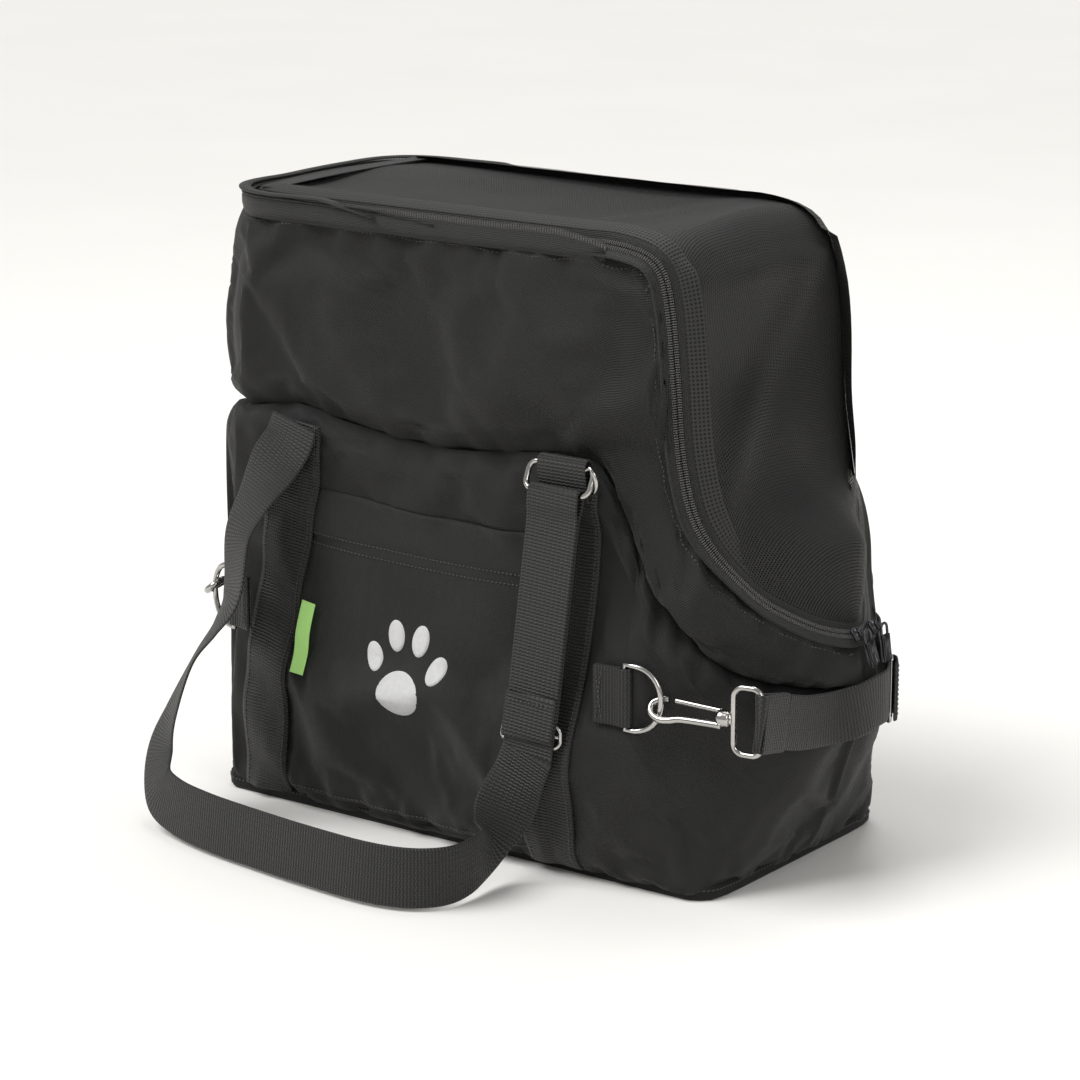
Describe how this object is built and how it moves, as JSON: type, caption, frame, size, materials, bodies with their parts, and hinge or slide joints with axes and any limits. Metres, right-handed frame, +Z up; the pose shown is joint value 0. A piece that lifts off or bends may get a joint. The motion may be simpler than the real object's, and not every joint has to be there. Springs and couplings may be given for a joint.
{
  "type": "pet carrier bag",
  "caption": "Soft-sided pet carrier bag with padded scoop-front body, zipped mesh lid, side pocket, webbing handles, rings and a stowed shoulder strap.",
  "frame": {"origin": "centre of the underside of the base panel, on the floor", "axes": "+X from the square end to the nose, -Y the decorated long side, +Z up"},
  "size_m": [0.4801, 0.4648, 0.4185],
  "materials": {
    "twill": "matte twill",
    "webbing": "woven",
    "zip_tape": "zip tape with nylon coil",
    "mesh": "open mesh",
    "nickel": "polished nickel plate",
    "black_metal": "gloss black",
    "board": "matte",
    "label": "printed ribbon"
  },
  "bodies": {
    "bag": {"lower_body": "twill", "upper_collar": "twill", "base_panel": "twill", "front_pocket": "twill", "back_pocket": "twill", "inner_mat": "twill", "front_strap_left": "webbing", "front_strap_right": "webbing", "back_strap_left": "webbing", "back_strap_right": "webbing", "front_ring_loop": "webbing", "back_ring_loop": "webbing", "left_tab": "webbing", "right_tab": "webbing", "shoulder_strap": "webbing", "zip_half_body": "zip_tape", "cover_zip_half": "zip_tape", "mesh_end": "mesh", "strap_adjuster": "nickel", "base_board": "board", "label_tag": "label"},
    "mesh_top": {"mesh_top": "mesh", "zip_half_top_front": "zip_tape", "zip_half_top_back": "zip_tape"},
    "mesh_door": {"mesh_door": "mesh", "zip_half_door": "zip_tape"},
    "front_handle": {"front_handle": "webbing", "front_handle_ring": "nickel"},
    "back_handle": {"back_handle": "webbing", "back_handle_ring": "nickel"},
    "front_buckle": {"front_handle_buckle": "nickel"},
    "back_buckle": {"back_handle_buckle": "nickel"},
    "right_clip": {"right_d_ring": "nickel", "right_hook_body": "nickel", "right_hook_collar": "nickel"},
    "left_clip": {"left_d_ring": "nickel", "left_hook_body": "nickel", "left_hook_collar": "nickel"},
    "right_gate": {"right_hook_gate": "nickel"},
    "left_gate": {"left_hook_gate": "nickel"},
    "right_eye": {"right_swivel_eye": "nickel", "right_strap_end": "webbing"},
    "left_eye": {"left_swivel_eye": "nickel", "left_strap_end": "webbing"},
    "front_slider": {"front_zip_slider": "black_metal"},
    "back_slider": {"back_zip_slider": "black_metal"},
    "front_pull": {"front_zip_pull": "black_metal"},
    "back_pull": {"back_zip_pull": "black_metal"}
  },
  "joints": [
    {"name": "lid_back_hinge", "type": "hinge", "parent": "bag", "child": "mesh_top", "pos_m": [-0.1752, 0, 0.4132], "axis": [0, 1, 0], "range_deg": [-110, 0]},
    {"name": "lid_fold_hinge", "type": "hinge", "parent": "mesh_top", "child": "mesh_door", "pos_m": [0.105, 0, 0.4132], "axis": [0, 1, 0], "range_deg": [-140, 0]},
    {"name": "front_handle_swing", "type": "hinge", "parent": "bag", "child": "front_handle", "pos_m": [0, -0.112, 0.27], "axis": [1, 0, 0], "range_deg": [-150, 0]},
    {"name": "back_handle_swing", "type": "hinge", "parent": "bag", "child": "back_handle", "pos_m": [0, 0.112, 0.27], "axis": [1, 0, 0], "range_deg": [0, 150]},
    {"name": "front_buckle_slide", "type": "slide", "parent": "front_handle", "child": "front_buckle", "axis": [0.0643, 0.0869, 0.9941], "range_m": [0, 0.09]},
    {"name": "back_buckle_slide", "type": "slide", "parent": "back_handle", "child": "back_buckle", "axis": [0.0643, -0.0869, 0.9941], "range_m": [0, 0.09]},
    {"name": "right_clip_swing", "type": "hinge", "parent": "bag", "child": "right_clip", "pos_m": [0.147, -0.11815, 0.13], "axis": [0, 0, 1], "range_deg": [-20, 0]},
    {"name": "left_clip_swing", "type": "hinge", "parent": "bag", "child": "left_clip", "pos_m": [-0.1745, -0.1185, 0.142], "axis": [0, 0, 1], "range_deg": [0, 20]},
    {"name": "right_eye_swivel", "type": "hinge", "parent": "right_clip", "child": "right_eye", "pos_m": [0.17119, -0.11428, 0.126], "axis": [0.9874, 0.158, 0], "range_deg": [-8, 8]},
    {"name": "left_eye_swivel", "type": "hinge", "parent": "left_clip", "child": "left_eye", "pos_m": [-0.19779, -0.1109, 0.145], "axis": [-0.2399, 0.9708, 0], "range_deg": [-8, 8]},
    {"name": "right_gate_hinge", "type": "hinge", "parent": "right_clip", "child": "right_gate", "pos_m": [0.2092, -0.10495, 0.12957], "axis": [0.1174, -0.7338, 0.6691], "range_deg": [0, 12], "stiffness_Nm_per_rad": 0.02, "springref_deg": -5.73},
    {"name": "left_gate_hinge", "type": "hinge", "parent": "left_clip", "child": "left_gate", "pos_m": [-0.20348, -0.07213, 0.14796], "axis": [0.5977, 0.1477, -0.788], "range_deg": [0, 12], "stiffness_Nm_per_rad": 0.02, "springref_deg": -5.73},
    {"name": "front_zip_slide", "type": "slide", "parent": "bag", "child": "front_slider", "axis": [0, -1, 0], "range_m": [0, 0.012]},
    {"name": "back_zip_slide", "type": "slide", "parent": "bag", "child": "back_slider", "axis": [0, 1, 0], "range_m": [0, 0.012]},
    {"name": "front_pull_hinge", "type": "hinge", "parent": "front_slider", "child": "front_pull", "pos_m": [0.2544, -0.0095, 0.1629], "axis": [0, 1, 0], "range_deg": [-150, 0]},
    {"name": "back_pull_hinge", "type": "hinge", "parent": "back_slider", "child": "back_pull", "pos_m": [0.2544, 0.0115, 0.1629], "axis": [0, 1, 0], "range_deg": [-150, 0]}
  ]
}
